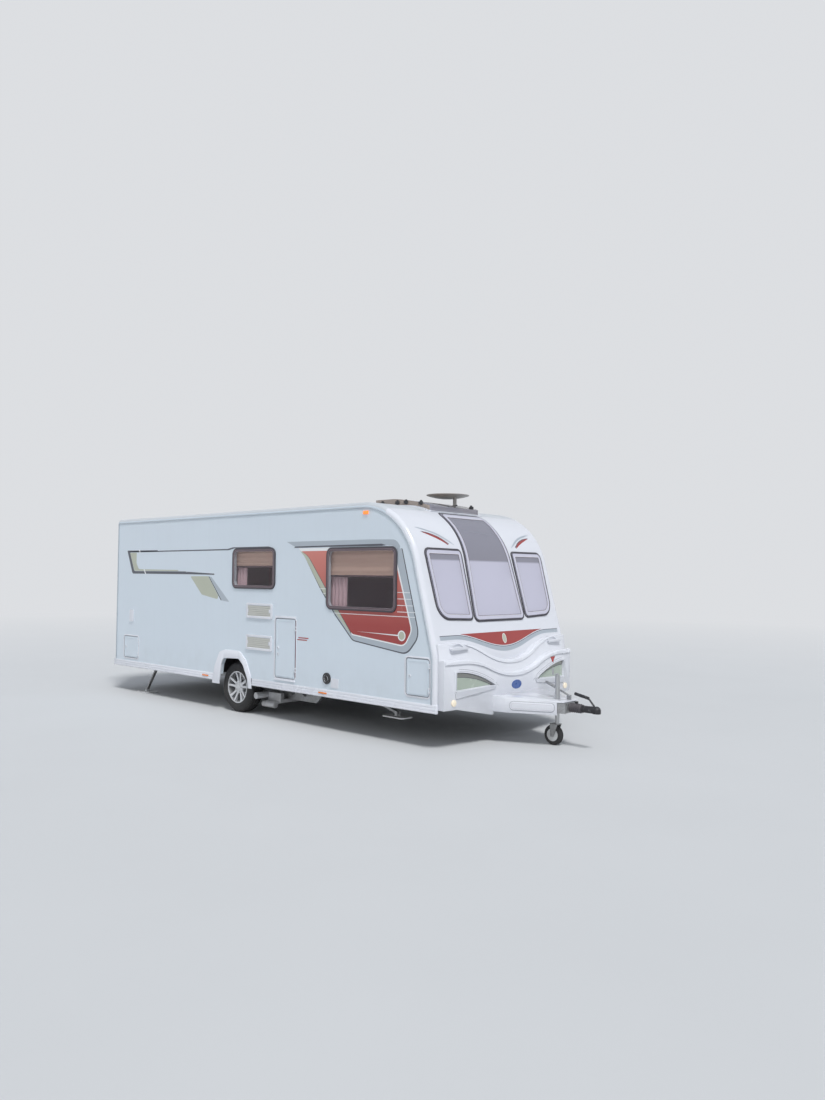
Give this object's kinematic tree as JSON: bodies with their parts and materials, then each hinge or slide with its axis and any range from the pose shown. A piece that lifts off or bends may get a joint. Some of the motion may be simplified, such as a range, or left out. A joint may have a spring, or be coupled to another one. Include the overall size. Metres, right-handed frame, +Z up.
{
  "type": "travel caravan",
  "caption": "Single-axle travel caravan with bowed three-pane front, hinged doors, covered A-frame drawbar, ball coupling, jockey wheel and corner steadies.",
  "frame": {"origin": "centre of the bounding box in plan, on the ground", "axes": "+X forward to the hitch, +Y to the nearside with the entrance door, +Z up"},
  "size_m": [7.21, 2.28, 2.63],
  "materials": {
    "floor": "matt",
    "wall_white": "satin",
    "mould_white": "gloss",
    "window_tint": "gloss",
    "trim_white": "satin",
    "liner_black": "matt",
    "hinge_white": "satin",
    "lens_red": "gloss",
    "lens_amber": "gloss",
    "rail_white": "satin",
    "galvanised": "dull",
    "bellows_black": "matt",
    "coupling_black": "satin",
    "tyre_black": "matt",
    "alloy_silver": "machined",
    "mover_alloy": "cast",
    "pad_white": "matt",
    "rooflight_smoke": "gloss",
    "dish_grey": "satin"
  },
  "bodies": {
    "caravan": {"floor": "floor", "side_wall_offside": "wall_white", "side_wall_nearside": "wall_white", "rear_panel": "mould_white", "roof_panel": "wall_white", "front_panel": "mould_white", "front_moulding": "mould_white", "front_windows": "window_tint", "side_windows": "window_tint", "wheel_boxes": "liner_black", "skirts": "trim_white", "arch_trims": "trim_white", "hinge_posts": "hinge_white", "wall_fittings": "trim_white", "rear_bumper": "trim_white", "rear_lamps": "lens_red", "marker_lamps": "lens_amber", "grab_handles": "trim_white", "awning_rails": "rail_white", "rooflights": "rooflight_smoke", "satellite_dish": "dish_grey", "chassis_rails": "galvanised", "cross_members": "galvanised", "drawbar_legs": "galvanised", "drawbar_head": "coupling_black", "drawbar_cover": "mould_white", "overrun_bellows": "bellows_black", "coupling_head": "coupling_black", "handbrake_lever": "galvanised", "jockey_tube": "galvanised", "steady_brackets": "galvanised", "axle": "galvanised", "movers": "mover_alloy"},
    "jockey_slide": {"jockey_inner": "galvanised"},
    "jockey_fork": {"jockey_fork": "galvanised"},
    "jockey_wheel": {"jockey_tyre": "tyre_black", "jockey_rim": "pad_white"},
    "entrance_door": {"entrance_door": "wall_white", "door_window": "window_tint"},
    "gas_locker_door": {"gas_locker_door": "wall_white"},
    "front_locker_door": {"front_locker_door": "wall_white"},
    "cassette_door": {"cassette_door": "wall_white"},
    "wheel_left": {"tyre_left": "tyre_black", "rim_left": "alloy_silver"},
    "rear_steady_left": {"rear_steady_left": "galvanised"},
    "rear_pad_left": {"rear_pad_left": "pad_white"},
    "front_steady_left": {"front_steady_left": "galvanised"},
    "front_pad_left": {"front_pad_left": "pad_white"},
    "wheel_right": {"tyre_right": "tyre_black", "rim_right": "alloy_silver"},
    "rear_steady_right": {"rear_steady_right": "galvanised"},
    "rear_pad_right": {"rear_pad_right": "pad_white"},
    "front_steady_right": {"front_steady_right": "galvanised"},
    "front_pad_right": {"front_pad_right": "pad_white"}
  },
  "joints": [
    {"name": "wheel_left_spin", "type": "hinge", "parent": "caravan", "child": "wheel_left", "pos_m": [-0.721, 0.975, 0.298], "axis": [0, 1, 0], "continuous": true},
    {"name": "rear_steady_left_swing", "type": "hinge", "parent": "caravan", "child": "rear_steady_left", "pos_m": [-2.725, 0.93, 0.395], "axis": [0, 1, 0], "range_deg": [0, 36.7]},
    {"name": "rear_pad_left_tilt", "type": "hinge", "parent": "rear_steady_left", "child": "rear_pad_left", "pos_m": [-2.99165, 0.93, 0.045], "axis": [0, 1, 0], "range_deg": [-37.2, 0.5]},
    {"name": "front_steady_left_swing", "type": "hinge", "parent": "caravan", "child": "front_steady_left", "pos_m": [1.397, 0.93, 0.395], "axis": [0, 1, 0], "range_deg": [0, 36.7]},
    {"name": "front_pad_left_tilt", "type": "hinge", "parent": "front_steady_left", "child": "front_pad_left", "pos_m": [1.81995, 0.93, 0.27372], "axis": [0, 1, 0], "range_deg": [-37.2, 0.5]},
    {"name": "wheel_right_spin", "type": "hinge", "parent": "caravan", "child": "wheel_right", "pos_m": [-0.721, -0.975, 0.298], "axis": [0, 1, 0], "continuous": true},
    {"name": "rear_steady_right_swing", "type": "hinge", "parent": "caravan", "child": "rear_steady_right", "pos_m": [-2.725, -0.93, 0.395], "axis": [0, 1, 0], "range_deg": [0, 36.7]},
    {"name": "rear_pad_right_tilt", "type": "hinge", "parent": "rear_steady_right", "child": "rear_pad_right", "pos_m": [-2.99165, -0.93, 0.045], "axis": [0, 1, 0], "range_deg": [-37.2, 0.5]},
    {"name": "front_steady_right_swing", "type": "hinge", "parent": "caravan", "child": "front_steady_right", "pos_m": [1.397, -0.93, 0.395], "axis": [0, 1, 0], "range_deg": [0, 36.7]},
    {"name": "front_pad_right_tilt", "type": "hinge", "parent": "front_steady_right", "child": "front_pad_right", "pos_m": [1.81995, -0.93, 0.27372], "axis": [0, 1, 0], "range_deg": [-37.2, 0.5]},
    {"name": "jockey_slide", "type": "slide", "parent": "caravan", "child": "jockey_slide", "axis": [0, 0, 1], "range_m": [0, 0.08]},
    {"name": "jockey_swivel", "type": "hinge", "parent": "jockey_slide", "child": "jockey_fork", "pos_m": [3.125, 0, 0.2], "axis": [0, 0, 1], "continuous": true},
    {"name": "jockey_spin", "type": "hinge", "parent": "jockey_fork", "child": "jockey_wheel", "pos_m": [3.085, 0, 0.1], "axis": [0, 1, 0], "continuous": true},
    {"name": "entrance_door_hinge", "type": "hinge", "parent": "caravan", "child": "entrance_door", "pos_m": [0.4875, 1.133, 0.8], "axis": [0, 0, -1], "range_deg": [0, 160]},
    {"name": "gas_locker_door_hinge", "type": "hinge", "parent": "caravan", "child": "gas_locker_door", "pos_m": [0.4275, -1.133, 0.8], "axis": [0, 0, 1], "range_deg": [0, 160]},
    {"name": "front_locker_door_hinge", "type": "hinge", "parent": "caravan", "child": "front_locker_door", "pos_m": [2.4155, -1.133, 0.8], "axis": [0, 0, 1], "range_deg": [0, 160]},
    {"name": "cassette_door_hinge", "type": "hinge", "parent": "caravan", "child": "cassette_door", "pos_m": [-2.9275, -1.133, 0.8], "axis": [0, 0, 1], "range_deg": [0, 160]}
  ],
  "couplings": [
    {"joint": "rear_pad_left_tilt", "follows": "rear_steady_left_swing", "ratio": -1},
    {"joint": "front_pad_left_tilt", "follows": "front_steady_left_swing", "ratio": -1},
    {"joint": "rear_pad_right_tilt", "follows": "rear_steady_right_swing", "ratio": -1},
    {"joint": "front_pad_right_tilt", "follows": "front_steady_right_swing", "ratio": -1}
  ]
}
